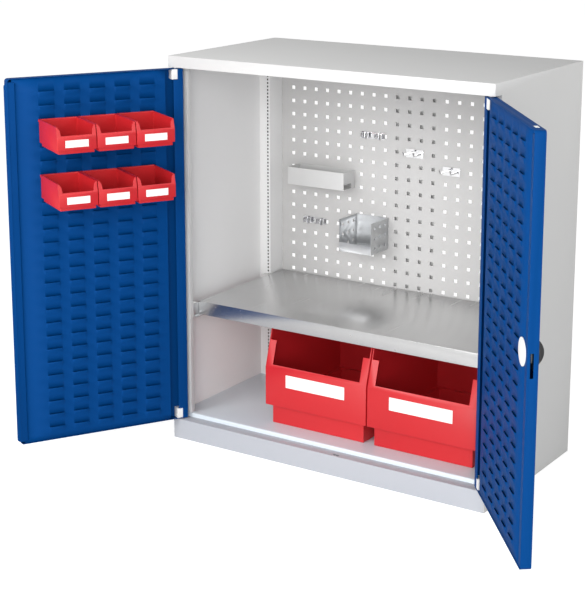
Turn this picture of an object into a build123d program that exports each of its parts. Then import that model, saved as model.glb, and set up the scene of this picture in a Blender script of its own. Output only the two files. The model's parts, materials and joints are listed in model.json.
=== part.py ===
from build123d import *
import math
import os

# Tool cabinet with two louvred doors. Millimetres; +X right, the front looks to -Y, +Z up.
# The origin is on the floor, in the middle of the plinth's front foot. The doors stand open.

# Carcass
cabinet_width = 950.0
cabinet_depth = 500.0
cabinet_height = 1055.0
sheet = 1.2             # gauge of the carcass and the door skins
fascia_height = 30.0    # front edge of the top
plinth_height = 55.0
door_recess = 34.0      # front plane to the posts: the room that the closed doors take
channel_lip = 12.0      # upstand at the back of the fascia and of the plinth
plinth_foot = 25.0      # bottom fold of the plinth
floor_rise = 11.0       # floor above the plinth, seen as a rounded bead
bead_radius = 4.0
floor_rear_fold = 20.0
post_width = 35.0
front_post_return = 15.0
rear_post_depth = 63.0
side_rear_fold = 15.0

# Rear wall
wall_gauge = 1.25
wall_tray_depth = 15.0
wall_joint_drop = 12.0      # shelf's top to the joint of the plain and the perforated panel
hole_size = 10.0
hole_pitch = 38.0
hole_side_margin = 56.0     # least distance from the side folds to the holes
hole_low_margin = 14.0
top_row_drop = 98.0         # top of the cabinet to the first row of holes
stiffener_depth = 10.0
stiffener_columns = 4       # columns of holes that the stiffener stands behind
stiffener_end_gap = 5.0

# Shelf and its supports
shelf_top = 378.0
shelf_lip = 37.0
shelf_fold = 12.0
shelf_gauge = 1.2
shelf_setback = 36.0    # shelf's front lip behind the posts' front
shelf_rear_gap = 3.0
support_gauge = 2.2
support_length = 46.0
support_height = 34.0
shelf_end_gap = 0.8
seat_gap = 0.3          # between pieces that rest on each other and come apart
clip_width = 15.0
clip_height = 30.0

# Door leaves, written in the leaf's own frame: x from hinge edge to free edge, y from the
# outer face inwards, z up from its bottom edge
leaf_thickness = 25.0
leaf_side_gap = 0.5
leaf_meeting_gap = 1.0      # from the leaf's free edge to the middle of the cabinet
leaf_end_gap = 3.0          # above and below the leaf
leaf_corner_radius = 8.0
hinge_return = 27.0         # width of the fold along the hinge edge
free_return = 17.0
notch_width = 12.0          # cut in the hinge fold beside each bush
pivot_inset = 15.5
left_opening = 120.0        # degrees from closed, as they stand
right_opening = 129.0
pin_radius = 4.0
pin_length = 28.0
pin_fit = 0.05              # radial running clearance in the bush
pin_hole_clearance = 0.6
collar_radius = 7.0
bush_height = 27.0
bush_overhang = 3.5         # the bush stands out past the hinge fold
strip_width = 18.0
strip_overhang = 10.0
strip_gauge = 1.5
strip_joggle = 0.8
strip_end_gap = 10.0

# Louvred panel of a leaf
panel_drop = 0.2            # below the folds of the skin
groove_width = 23.0         # open groove between hinge fold and panel
panel_tuck = 6.0            # panel's edge under the free-edge fold
panel_gap = 0.8
louvre_pitch_across = 68.0
louvre_pitch_down = 35.7
louvre_width = 44.0
louvre_height = 17.0
louvre_rise = 6.0
louvre_gauge = 1.3
louvre_top_drop = 36.0      # leaf's top edge to the mouth of the first row
louvre_low_margin = 15.0    # least distance from the last row to the leaf's bottom edge
louvre_side_margin = 30.0

# Lock in the right leaf
spindle_setback = 43.0      # from the free edge
spindle_radius = 6.0
spindle_square = 8.0
spindle_hole_clearance = 0.3
rose_radius = 34.0
rose_thickness = 3.0
grip_radius = 31.0
grip_base = 4.0
grip_rise = 12.0
grip_width = 22.0
grip_inset = 4.0            # ends of the grip bar inside the base's rim
grip_chamfer = 1.2
key_radius = 8.0
key_rise = 1.0
key_fit = 0.05
cover_radius = 31.5
cover_rise = 4.5
cover_edge = 3.0            # height of the bevel around the cover
cover_bevel = 14.0          # and its width
cover_boss_radius = 22.0
lock_plate_gauge = 2.0
lock_plate_width = 60.0
lock_plate_height = 84.0
rod_level = 9.0             # leaf's outer face to the near face of the rods
rod_gauge = 3.0
rod_width = 14.0
rod_fit = 0.4
cam_gauge = 3.0
cam_gap = 1.0
crank_radius = 18.0
crank_pin_radius = 2.5
crank_slot_clearance = 0.75
crank_arm_width = 13.0
hub_radius = 10.0
tongue_length = 60.0
tongue_width = 13.0
latch_slot_above = 8.0
latch_slot_below = 47.0
latch_slot_width = 7.5
yoke_wall = 3.0
yoke_gap = 1.0              # between a yoke's leg and the other rod
yoke_bridge = 12.0
rod_tip_gap = 1.0           # tip of a drawn-back rod below the leaf's edge
guide_height = 16.0
guide_wall = 5.0
guide_rim = 1.0
rod_hole_clearance = 2.0    # in the fascia and the plinth

# Small bins on the left leaf
small_width = 102.0
small_depth = 142.0
small_height = 68.0
small_wall = 1.8
small_flange = 4.0
small_base_height = 9.0
small_gap = 2.5
small_first = 77.0          # from the leaf's free edge to the first bin
small_columns = 3
small_rows = (2, 6)         # rows of louvres that carry them, counted from the top
hook_gauge = 1.4
hook_drop = 6.0
small_label = (60.0, 18.0)      # width and height of the card
small_label_drop = 6.0          # below the front lip

# Large bins on the floor
large_width = 314.0
large_wall = 3.0
large_flange = 22.0
large_base_height = 53.0
large_gap = 4.0
large_right_gap = 32.8      # from the last bin to the right post
large_setback = 50.0        # behind the posts' front
large_rear_gap = 20.0
large_top_gap = 7.0         # below the shelf
large_label = (183.0, 35.0)
large_label_drop = 12.0
label_gauge = 0.6

# Forms that both bins share, as parts of their width or height
bin_base_inset = 0.045
bin_lip_height = 0.59
bin_flange_height = 0.86
bin_slope_run = 0.12

# Fittings hooked into the perforated wall, each placed by a hole: (column, row)
tab_width = 8.0
tab_gauge = 2.0
tab_drop = 6.0
fitting_gap = 0.3
tray_holes = ((1, 7), (5, 7))
tray_width = 187.0
tray_depth = 62.0
tray_height = 50.0
tray_gauge = 1.5
holder_holes = ((6, 11), (8, 11))
holder_width = 104.0
holder_depth = 95.0
holder_height = 90.0
holder_lip = 26.0
holder_gauge = 1.5
holder_hole = 8.0
holder_hole_pitch = 28.0
clip_plate_width = 74.0
clip_plate_height = 20.0
clip_plate_gauge = 2.0
clip_ring_radius = 11.0
clip_ring_gauge = 1.4
clip_ring_height = 14.0
clip_ring_spacing = 44.0
clip_mouth = 13.0
upper_clip_hole = (7, 4)
lower_clip_hole = (2, 11)
hook_plate_width = 54.0
hook_plate_height = 24.0
prong_spacing = 32.0
prong_radius = 2.5
prong_reach = 34.0
prong_upturn = 9.0
left_hook_holes = ((10, 5), (11, 5))
right_hook_holes = ((13, 6), (14, 6))

# Places that follow from the sizes above
front = -plinth_foot / 2
back = front + cabinet_depth
inner_half = cabinet_width / 2 - sheet
post_front = front + door_recess
post_inner = inner_half - post_width
doors_low = plinth_height
doors_high = cabinet_height - fascia_height
floor_top = plinth_height + floor_rise
under_top = cabinet_height - sheet
wall_front = back - sheet - wall_tray_depth
rear_post_front = wall_front - rear_post_depth
leaf_width = cabinet_width / 2 - leaf_side_gap - leaf_meeting_gap
leaf_height = doors_high - doors_low - 2 * leaf_end_gap
leaf_low = doors_low + leaf_end_gap
pivot_depth = leaf_thickness / 2
panel_face = leaf_thickness - sheet - panel_drop
louvre_front = panel_face + louvre_rise
spindle_x = leaf_width - spindle_setback
spindle_z = leaf_height / 2
cam_level = rod_level + rod_gauge + cam_gap
rod_travel = 2 * crank_radius * math.sin(math.radians(45))
top_hole_z = cabinet_height - top_row_drop
wall_joint_height = shelf_top - wall_joint_drop
panel_start = hinge_return + groove_width
panel_end = leaf_width - free_return + panel_tuck
large_depth = wall_front - large_rear_gap - post_front - large_setback
large_height = shelf_top - shelf_lip - large_top_gap - floor_top
large_first = post_inner - large_right_gap - 2 * large_width - large_gap

# Counts that follow from the room there is
hole_columns = 2 * int((inner_half - hole_side_margin - hole_size / 2) / hole_pitch + 0.5)
hole_rows = int((top_hole_z - hole_size / 2 - hole_low_margin - wall_joint_height) / hole_pitch) + 1
louvre_columns = 1 + int(
    (panel_end - panel_start - louvre_width - 2 * louvre_side_margin) / louvre_pitch_across
)
louvre_rows = 1 + int(
    (leaf_height - louvre_top_drop - louvre_height - louvre_low_margin) / louvre_pitch_down
)


def slab(x0, x1, y0, y1, z0, z1):
    """Block between two corners."""
    return Pos((x0 + x1) / 2, (y0 + y1) / 2, (z0 + z1) / 2) * Box(x1 - x0, y1 - y0, z1 - z0)


def polygon(points):
    return make_face(Polyline(*points, close=True))


def bent_sheet(path, gauge):
    """Face of a sheet folded along a path, its gauge on the path's left side."""
    points = [Vector(*point) for point in path]
    inner = []
    for i, point in enumerate(points):
        normals = []
        if i > 0:
            run = (point - points[i - 1]).normalized()
            normals.append(Vector(-run.Y, run.X))
        if i < len(points) - 1:
            run = (points[i + 1] - point).normalized()
            normals.append(Vector(-run.Y, run.X))
        shift = normals[0]
        if len(normals) == 2:
            shift = (normals[0] + normals[1]) / (1 + normals[0].dot(normals[1]))
        inner.append(point + shift * gauge)
    return polygon([(p.X, p.Y) for p in points + inner[::-1]])


def along_x(face, x0, x1):
    """Face drawn in (y, z), extruded from x0 to x1."""
    return Pos(x0, 0, 0) * extrude(Plane.YZ * face, x1 - x0)


def along_z(face, z0, z1):
    return Pos(0, 0, z0) * extrude(face, z1 - z0)


def along_y(face, y0, y1):
    """Face drawn in (x, z), extruded from y0 to y1."""
    return Pos(0, y0, 0) * extrude(Plane.XZ * face, -(y1 - y0))


def edge_fillet(part, axis, radius, reach, *near):
    """Fillet of the edges along an axis that pass within reach of the points named."""
    places = [Vector(*point) for point in near]
    chosen = []
    for edge in part.edges().filter_by(axis):
        if any((edge.center() - place).length < reach for place in places):
            chosen.append(edge)
    return fillet(chosen, radius)


def mirrored(part):
    return mirror(part, about=Plane.YZ)


# ---- carcass


def make_top_panel():
    """Top sheet whose front edge is folded to a channel over the doors."""
    path = [
        (back, cabinet_height),
        (front, cabinet_height),
        (front, doors_high),
        (post_front, doors_high),
        (post_front, doors_high + channel_lip),
    ]
    panel = along_x(bent_sheet(path, sheet), -inner_half, inner_half)
    return panel - rod_slot(doors_high)


def rod_slot(height):
    """Slot for a lock rod in a fold at the given height."""
    x = leaf_meeting_gap + spindle_setback
    y = front + rod_level + rod_gauge / 2
    wide = rod_width / 2 + rod_hole_clearance
    deep = rod_gauge / 2 + rod_hole_clearance
    return slab(x - wide, x + wide, y - deep, y + deep, height - 2 * sheet, height + 2 * sheet)


def make_side_panel():
    """Right side: a sheet notched for the doors' edges, with a fold at the back."""
    outline = [
        (front, 0),
        (back, 0),
        (back, cabinet_height),
        (front, cabinet_height),
        (front, doors_high),
        (post_front, doors_high),
        (post_front, doors_low),
        (front, doors_low),
    ]
    panel = along_x(polygon(outline), inner_half, inner_half + sheet)
    fold = slab(inner_half - side_rear_fold, inner_half, back - sheet, back, 0, under_top)
    return panel + fold


def make_floor_panel():
    """Floor with a rounded front bead that stands on the plinth's fold."""
    path = [
        (wall_front, floor_top - floor_rear_fold),
        (wall_front, floor_top),
        (post_front, floor_top),
        (post_front, plinth_height - channel_lip),
    ]
    panel = along_x(bent_sheet(path, sheet), -inner_half, inner_half)
    return edge_fillet(panel, Axis.X, bead_radius, 0.1, (0, post_front, floor_top))


def make_plinth():
    path = [
        (post_front, plinth_height - channel_lip),
        (post_front, plinth_height),
        (front, plinth_height),
        (front, 0),
        (front + plinth_foot, 0),
    ]
    return along_x(bent_sheet(path, sheet), -inner_half, inner_half) - rod_slot(plinth_height)


def make_post(face_depth, return_depth):
    """Right post: a front face with a fold that runs back beside the opening."""
    path = [
        (post_inner, face_depth + return_depth),
        (post_inner, face_depth),
        (inner_half, face_depth),
    ]
    return along_z(bent_sheet(path, sheet), floor_top, under_top)


def make_wall_tray(low, high):
    """Rear sheet with its four edges folded to the back."""
    tray = slab(-inner_half, inner_half, wall_front, back - sheet, low, high)
    hollow = slab(
        -inner_half + wall_gauge,
        inner_half - wall_gauge,
        wall_front + wall_gauge,
        back,
        low + wall_gauge,
        high - wall_gauge,
    )
    return tray - hollow


def hole_place(column, row):
    """Centre of a hole of the perforated wall, as x and z."""
    return (column - (hole_columns - 1) / 2) * hole_pitch, top_hole_z - row * hole_pitch


def make_perforated_wall():
    wall = make_wall_tray(wall_joint_height, under_top)
    x, z = hole_place((hole_columns - 1) / 2, (hole_rows - 1) / 2)
    grid = GridLocations(hole_pitch, hole_pitch, hole_columns, hole_rows)
    holes = Pos(x, z) * Sketch(Compound([place * Rectangle(hole_size, hole_size) for place in grid]).wrapped)
    return wall - along_y(holes, wall_front - 1, wall_front + 2 * wall_gauge)


def make_wall_stiffener():
    """Hat section behind the middle columns of holes."""
    web = (stiffener_columns - 1) / 2 * hole_pitch + hole_size / 2 + 4.0
    foot = (stiffener_columns + 1) / 2 * hole_pitch - hole_size / 2 - 2.0
    near = wall_front + wall_gauge
    far = near + stiffener_depth
    path = [(-foot, near), (-web, near), (-web, far), (web, far), (web, near), (foot, near)]
    low = wall_joint_height + wall_gauge + stiffener_end_gap
    high = under_top - wall_gauge - stiffener_end_gap
    return along_z(bent_sheet(path, sheet), low, high)


def make_hinge_pins():
    """Pin with a collar on the plinth's fold, and its twin under the fascia."""
    x = -cabinet_width / 2 + leaf_side_gap + pivot_inset
    y = front + pivot_depth
    collar = leaf_end_gap - seat_gap
    lower = Cylinder(pin_radius, pin_length)
    lower += Pos(0, 0, -(pin_length - collar) / 2) * Cylinder(collar_radius, collar)
    upper = Rot(180, 0, 0) * lower
    low_place = Pos(x, y, doors_low + pin_length / 2)
    high_place = Pos(x, y, doors_high - pin_length / 2)
    return Compound([low_place * lower, high_place * upper])


# ---- shelf


def make_shelf():
    """Galvanised tray, open below, with its lips folded inwards."""
    end = post_inner - shelf_end_gap - support_gauge + sheet
    y0 = post_front + shelf_setback
    y1 = wall_front - shelf_rear_gap
    z0 = shelf_top - shelf_lip
    g = shelf_gauge
    shelf = slab(-end, end, y0, y1, z0, shelf_top)
    shelf -= slab(-end + g, end - g, y0 + g, y1 - g, z0 + g, shelf_top - g)
    return shelf - slab(
        -end + shelf_fold,
        end - shelf_fold,
        y0 + shelf_fold,
        y1 - shelf_fold,
        z0 - 1,
        z0 + 2 * g,
    )


def make_support():
    """Angle on the right that stands against a post and carries the shelf's lip."""
    outer = post_inner + sheet
    foot_top = shelf_top - shelf_lip - seat_gap
    toe = outer - support_gauge - shelf_fold
    path = [
        (outer, foot_top + support_height),
        (outer, foot_top - support_gauge),
        (toe, foot_top - support_gauge),
    ]
    return bent_sheet([(x, z) for x, z in path[::-1]], support_gauge)


def front_support_start():
    return post_front + front_post_return


def make_shelf_supports():
    profile = make_support()
    start = front_support_start()
    near = along_y(profile, start, start + support_length)
    far = along_y(profile, rear_post_front - support_length, rear_post_front)
    return Compound([near, far, mirrored(near), mirrored(far)])


def make_shelf_clips():
    """White clip blocks that lock the supports to the posts."""
    x0 = post_inner + sheet
    z1 = shelf_top - seat_gap
    start = front_support_start()
    block = slab(x0, x0 + clip_width, start, start + clip_width, z1 - clip_height, z1)
    near = edge_fillet(block, Axis.X, 2.0, 30, (x0, start + clip_width, z1), (x0, start + clip_width, 0))
    far = Pos(0, rear_post_front - start, 0) * mirror(near, about=Plane.XZ.offset(-start))
    return Compound([near, far, mirrored(near), mirrored(far)])


# ---- door leaves


def make_leaf_skin():
    """Door skin: a sheet with four deep edges, folded back along hinge and free edge."""
    outer = slab(0, leaf_width, 0, leaf_thickness, 0, leaf_height)
    outer = edge_fillet(
        outer,
        Axis.Y,
        leaf_corner_radius,
        1,
        (leaf_width, leaf_thickness / 2, 0),
        (leaf_width, leaf_thickness / 2, leaf_height),
    )
    hollow = slab(sheet, leaf_width - sheet, sheet, leaf_thickness + 1, sheet, leaf_height - sheet)
    hollow = edge_fillet(
        hollow,
        Axis.Y,
        leaf_corner_radius - sheet,
        2,
        (leaf_width - sheet, (leaf_thickness + 1 + sheet) / 2, sheet),
        (leaf_width - sheet, (leaf_thickness + 1 + sheet) / 2, leaf_height - sheet),
    )
    skin = outer - hollow
    notch = bush_height + sheet + panel_gap
    hinge_fold = [
        (sheet / 2, sheet / 2),
        (hinge_return - notch_width, sheet / 2),
        (hinge_return - notch_width, notch),
        (hinge_return, notch),
        (hinge_return, leaf_height - notch),
        (hinge_return - notch_width, leaf_height - notch),
        (hinge_return - notch_width, leaf_height - sheet / 2),
        (sheet / 2, leaf_height - sheet / 2),
    ]
    skin += along_y(polygon(hinge_fold), leaf_thickness - sheet, leaf_thickness)
    free_fold = slab(
        leaf_width - free_return,
        leaf_width - sheet / 2,
        leaf_thickness - sheet,
        leaf_thickness,
        leaf_corner_radius,
        leaf_height - leaf_corner_radius,
    )
    skin += free_fold
    pin_hole = Pos(pivot_inset, pivot_depth, leaf_height / 2) * Cylinder(
        pin_radius + pin_hole_clearance, leaf_height + 2
    )
    return skin - pin_hole - latch_slot()


def latch_slot():
    """Slot for the tongue in the leaf's free edge."""
    middle = cam_level + cam_gauge / 2
    return slab(
        leaf_width - 2 * sheet,
        leaf_width + sheet,
        middle - latch_slot_width / 2,
        middle + latch_slot_width / 2,
        spindle_z - latch_slot_below,
        spindle_z + latch_slot_above,
    )


def make_right_skin():
    """The right leaf's skin also takes the lock: spindle hole and rod holes."""
    skin = make_leaf_skin()
    clear = spindle_radius + spindle_hole_clearance
    skin -= Pos(spindle_x, 0, spindle_z) * Rot(90, 0, 0) * Cylinder(clear, 3 * sheet)
    wide = rod_width / 2 + rod_fit
    rods = slab(
        spindle_x - wide,
        spindle_x + wide,
        rod_level - rod_fit,
        rod_level + rod_gauge + rod_fit,
        -1,
        leaf_height + 1,
    )
    return skin - rods


def louvre_place(column, row):
    """Middle of a louvre's mouth, as x and z in the leaf."""
    x = leaf_width / 2 + (column - (louvre_columns - 1) / 2) * louvre_pitch_across
    return x, leaf_height - louvre_top_drop - row * louvre_pitch_down


def make_louvred_panel():
    """Inner panel of a leaf: rows of pressed louvres, each a sloping flap open at its top."""
    x0 = panel_start
    x1 = panel_end
    z0 = sheet + panel_gap
    z1 = leaf_height - sheet - panel_gap
    path = [(x1, panel_face), (x0, panel_face), (x0, sheet)]
    panel = along_z(bent_sheet(path, sheet), z0, z1)
    panel = edge_fillet(
        panel,
        Axis.Y,
        leaf_corner_radius,
        2,
        (x1, panel_face - sheet / 2, z0),
        (x1, panel_face - sheet / 2, z1),
    )
    low = louvre_height - louvre_gauge * louvre_height / louvre_rise
    flap = [
        (panel_face, -louvre_height),
        (louvre_front, 0),
        (louvre_front - louvre_gauge, 0),
        (panel_face, -low),
    ]
    profile = polygon(flap)
    flaps = []
    for column in range(louvre_columns):
        for row in range(louvre_rows):
            x, z = louvre_place(column, row)
            flaps.append(Pos(0, 0, z) * along_x(profile, x - louvre_width / 2, x + louvre_width / 2))
    return panel.fuse(*flaps)


def make_bushes():
    """White bearing blocks for the hinge pins, at both ends of the hinge edge."""
    y0 = sheet
    y1 = leaf_thickness - sheet - panel_drop
    x1 = hinge_return + bush_overhang
    z0 = sheet
    block = slab(sheet, x1, y0, y1, z0, z0 + bush_height)
    bore = Cylinder(pin_radius + pin_fit, bush_height + 2)
    block -= Pos(pivot_inset, pivot_depth, z0 + bush_height / 2) * bore
    twin = mirror(block, about=Plane.XY.offset(leaf_height / 2))
    return Compound([block, twin])


def make_meeting_strip():
    """Strip on the left leaf's free edge that the right leaf closes against."""
    y = leaf_thickness
    x0 = leaf_width - strip_width
    x1 = leaf_width
    x2 = leaf_width + strip_overhang
    profile = [
        (x0, y),
        (x1 - strip_joggle, y),
        (x1, y + strip_joggle),
        (x2, y + strip_joggle),
        (x2, y + strip_joggle + strip_gauge),
        (x1 - strip_joggle, y + strip_joggle + strip_gauge),
        (x1 - 2 * strip_joggle, y + strip_gauge),
        (x0, y + strip_gauge),
    ]
    strip = along_z(polygon(profile), strip_end_gap, leaf_height - strip_end_gap)
    middle = y + strip_joggle + strip_gauge / 2
    ends = (x2, middle, strip_end_gap), (x2, middle, leaf_height - strip_end_gap)
    return edge_fillet(strip, Axis.Y, strip_overhang - 2, 1, *ends)


# ---- lock


def at_spindle(part):
    return Pos(spindle_x, 0, spindle_z) * part


def disc(radius, y0, y1):
    return Pos(0, (y0 + y1) / 2, 0) * Rot(90, 0, 0) * Cylinder(radius, y1 - y0)


def make_rose():
    """Round plate under the turning handle."""
    plate = disc(rose_radius, -rose_thickness, 0)
    plate = chamfer(plate.edges().group_by(Axis.Y)[0], grip_chamfer)
    return at_spindle(plate - disc(spindle_radius + spindle_hole_clearance, -2 * rose_thickness, 1))


def make_handle():
    """Turning handle: a round base with an arched grip bar across it."""
    near = -rose_thickness - seat_gap
    seat = near - grip_base
    crown = seat - grip_rise
    end = grip_radius - grip_inset
    arch = ThreePointArc((seat, -end), (crown, 0), (seat, end))
    foot = Polyline((seat, end), (seat + 1, end), (seat + 1, -end), (seat, -end))
    bar = along_x(make_face(arch + foot), -grip_width / 2, grip_width / 2)
    base = disc(grip_radius, seat, near)
    base = chamfer(base.edges().group_by(Axis.Y)[0], grip_chamfer)
    return at_spindle(base + bar - disc(key_radius, crown - 1, seat))


def make_lock_cylinder():
    near = -rose_thickness - seat_gap - grip_base
    crown = near - grip_rise - key_rise
    barrel = disc(key_radius - key_fit, crown, near - key_fit)
    return at_spindle(barrel - slab(-0.9, 0.9, crown - 1, crown + 4, -4.5, 4.5))


def make_spindle():
    near = -rose_thickness - seat_gap
    bar = disc(spindle_radius, near, cam_level)
    square = slab(
        -spindle_square / 2,
        spindle_square / 2,
        cam_level,
        cam_level + cam_gauge + 1,
        -spindle_square / 2,
        spindle_square / 2,
    )
    return at_spindle(bar + square)


def make_latch_cam():
    """Hub with two crank pins and the tongue, drawn with the lock open."""
    reach = crank_radius * math.cos(math.radians(45))
    hub = Circle(hub_radius)
    arm = Rot(0, 0, -45) * SlotCenterToCenter(2 * crank_radius, crank_arm_width)
    hook = tongue_width / 3
    tongue = polygon(
        [
            (-tongue_width / 2, 0),
            (-tongue_width / 2, -tongue_length + hook),
            (-tongue_width / 2 + hook, -tongue_length),
            (tongue_width / 2, -tongue_length),
            (tongue_width / 2, 0),
        ]
    )
    face = hub + arm + tongue - Rectangle(spindle_square + 0.1, spindle_square + 0.1)
    cam = along_y(face, cam_level, cam_level + cam_gauge)
    pin = disc(crank_pin_radius, rod_level - 0.5, cam_level + 0.5)
    cam += Pos(reach, 0, -reach) * pin
    cam += Pos(-reach, 0, reach) * pin
    return at_spindle(cam)


def make_upper_rod():
    """Lock rod with a slotted yoke beside the spindle, drawn back."""
    reach = crank_radius * math.cos(math.radians(45))
    leg_in = rod_width / 2 + yoke_gap
    slot_out = crank_radius + crank_pin_radius + crank_slot_clearance / 2
    leg_out = slot_out + yoke_wall
    half_slot = crank_pin_radius + crank_slot_clearance
    leg_low = -reach - half_slot - yoke_wall
    bridge_low = spindle_radius + 2 * cam_gap
    bridge_high = bridge_low + yoke_bridge
    top = leaf_height - spindle_z - rod_tip_gap
    outline = polygon(
        [
            (leg_in, leg_low),
            (leg_out, leg_low),
            (leg_out, bridge_high),
            (rod_width / 2, bridge_high),
            (rod_width / 2, top),
            (-rod_width / 2, top),
            (-rod_width / 2, bridge_low),
            (leg_in, bridge_low),
        ]
    )
    slot_in = reach - crank_pin_radius - crank_slot_clearance / 2
    slot = Pos((slot_in + slot_out) / 2, -reach) * Rectangle(slot_out - slot_in, 2 * half_slot)
    return along_y(outline - slot, rod_level, rod_level + rod_gauge)


def make_rod_guides():
    """White guides in the leaf's top and bottom edge, where the rods come out."""
    wide = rod_width / 2 + rod_fit
    mid = rod_level + rod_gauge / 2
    deep = rod_gauge / 2 + rod_fit
    body = slab(
        -wide - guide_wall,
        wide + guide_wall,
        sheet,
        mid + deep + guide_wall,
        leaf_height - sheet - guide_height,
        leaf_height - sheet,
    )
    rim = slab(
        -wide - guide_wall / 2,
        wide + guide_wall / 2,
        mid - deep - guide_wall / 2,
        mid + deep + guide_wall / 2,
        leaf_height,
        leaf_height + guide_rim,
    )
    neck = slab(-wide, wide, mid - deep, mid + deep, leaf_height - 2 * sheet, leaf_height + guide_rim)
    through = rod_width / 2 + rod_fit / 2
    thin = rod_gauge / 2 + rod_fit / 2
    bore = slab(-through, through, mid - thin, mid + thin, leaf_height - 2 * guide_height, leaf_height + 2)
    guide = Pos(spindle_x, 0, 0) * (body + rim + neck - bore)
    twin = mirror(guide, about=Plane.XY.offset(leaf_height / 2))
    return Compound([guide, twin])


def make_lock_plate():
    """Plate behind the skin that the rose is fastened to."""
    half = lock_plate_width / 2
    plate = slab(-half, half, sheet, sheet + lock_plate_gauge, -lock_plate_height / 2, lock_plate_height / 2)
    return at_spindle(plate - disc(spindle_radius + spindle_hole_clearance, 0, 2 * lock_plate_gauge + sheet))


def make_inner_cover():
    """White bevelled disc over the lock: its boss stands on the panel, its rim on the edge fold."""
    rim = leaf_thickness + cover_rise - cover_edge
    bevel = Rot(-90, 0, 0) * Cone(cover_radius, cover_radius - cover_bevel, cover_edge)
    cap = disc(cover_radius, leaf_thickness, rim) + Pos(0, rim + cover_edge / 2, 0) * bevel
    return at_spindle(cap + disc(cover_boss_radius, panel_face, leaf_thickness + 1))


# ---- bins


def make_bin(width, depth, height, wall, flange, base_height):
    """Open-fronted bin: back at y 0, front at y depth, with a narrower base."""
    inset = width * bin_base_inset
    lip = height * bin_lip_height
    run = height * bin_slope_run
    half = width / 2
    side = [(0, base_height), (depth, base_height), (depth, lip), (depth - run, height), (0, height)]
    body = along_x(polygon(side), -half, half)
    body += slab(-half + inset, half - inset, inset, depth - inset, 0, base_height + 1)
    body -= slab(-half + wall, half - wall, wall, depth - wall, base_height + wall, height + 1)
    inset += wall
    body -= slab(-half + inset, half - inset, inset, depth - inset, wall, base_height + 2 * wall)
    share = (height * bin_flange_height - lip) / (height - lip)
    end = (depth - run * share, height * bin_flange_height)
    flange_face = polygon([(depth, lip), end, (end[0] - wall, end[1]), (depth - wall, lip)])
    rim_end = depth - run - wall
    for side_sign in (-1, 1):
        across = sorted((side_sign * half, side_sign * (half - flange)))
        body += along_x(flange_face, *across)
        across = sorted((side_sign * half, side_sign * (half - 2 * wall)))
        body += slab(*across, 0, rim_end, height - wall, height)
    return body


def make_label(depth, height, card, drop):
    """Blank card on a bin's front wall."""
    wide, high = card
    top = height * bin_lip_height - drop
    return slab(-wide / 2, wide / 2, depth, depth + label_gauge, top - high, top)


def small_place(index):
    """Place of a small bin in the leaf: middle x, back y, bottom z."""
    column = index % small_columns
    row = small_rows[index // small_columns]
    x = leaf_width - small_first - small_width / 2 - column * (small_width + small_gap)
    mouth = louvre_place(0, row)[1]
    z = mouth + seat_gap + hook_gauge - small_height
    return Pos(x, louvre_front + seat_gap, z)


def make_small_bin():
    """Small bin with the ledge that hooks behind the louvres."""
    body = make_bin(small_width, small_depth, small_height, small_wall, small_flange, small_base_height)
    near = seat_gap + louvre_rise - 2 * seat_gap
    ledge = slab(
        -small_width / 2,
        small_width / 2,
        -near,
        small_wall,
        small_height - hook_gauge,
        small_height,
    )
    tab = slab(
        -small_width / 2,
        small_width / 2,
        -near,
        -near + hook_gauge,
        small_height - hook_gauge - hook_drop,
        small_height - hook_gauge / 2,
    )
    return body + ledge + tab


# ---- fittings on the perforated wall


def hook_tabs(holes):
    """Tabs through the holes of the wall, turned down behind it."""
    tabs = []
    for column, row in holes:
        x, z = hole_place(column, row)
        low = z - hole_size / 2 + seat_gap
        y = wall_front + wall_gauge + seat_gap
        through = slab(
            x - tab_width / 2,
            x + tab_width / 2,
            wall_front - fitting_gap - 0.5,
            y + tab_gauge,
            low,
            low + tab_gauge,
        )
        turned = slab(x - tab_width / 2, x + tab_width / 2, y, y + tab_gauge, low - tab_drop, low + tab_gauge)
        tabs.append(through + turned)
    return tabs


def fitting_origin(holes):
    """Point on the wall's face in the middle of the holes that a fitting hangs from."""
    places = [hole_place(*hole) for hole in holes]
    x = sum(place[0] for place in places) / len(places)
    return x, wall_front - fitting_gap, places[0][1]


def make_tool_tray():
    """Folded tray with end plates, hooked into the wall."""
    x, y, z = fitting_origin(tray_holes)
    half = tray_width / 2
    low = z + hole_size - tray_height
    tray = slab(x - half, x + half, y - tray_depth, y, low, low + tray_height)
    g = tray_gauge
    tray -= slab(x - half + g, x + half - g, y - tray_depth + g, y - g, low + g, low + tray_height + 1)
    notch = slab(x + half - 2 * g, x + half + g, y - tray_depth + g, y - tray_depth / 3, low + g, low + 16)
    tray -= notch
    return tray.fuse(*hook_tabs(tray_holes))


def make_box_holder():
    """Box with pierced sides, an open upper front and a low front lip."""
    x, y, z = fitting_origin(holder_holes)
    half = holder_width / 2
    g = holder_gauge
    high = z + hole_pitch
    low = high - holder_height
    box = slab(x - half, x + half, y - holder_depth, y, low, high)
    box -= slab(x - half + g, x + half - g, y - holder_depth + g, y - g, low + g, high + 1)
    near = y - holder_depth
    box -= slab(x - half + g, x + half - g, near - 1, near + 2 * g, low + holder_lip, high + 1)
    middle_y = y - holder_depth / 2
    middle_z = (low + high) / 2
    for i in (-1, 0, 1):
        for k in (-1, 0, 1):
            dy = middle_y + i * holder_hole_pitch
            dz = middle_z + k * holder_hole_pitch
            box -= Pos(x, dy, dz) * Box(holder_width + 2, holder_hole, holder_hole)
    return box.fuse(*hook_tabs(holder_holes))


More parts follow.
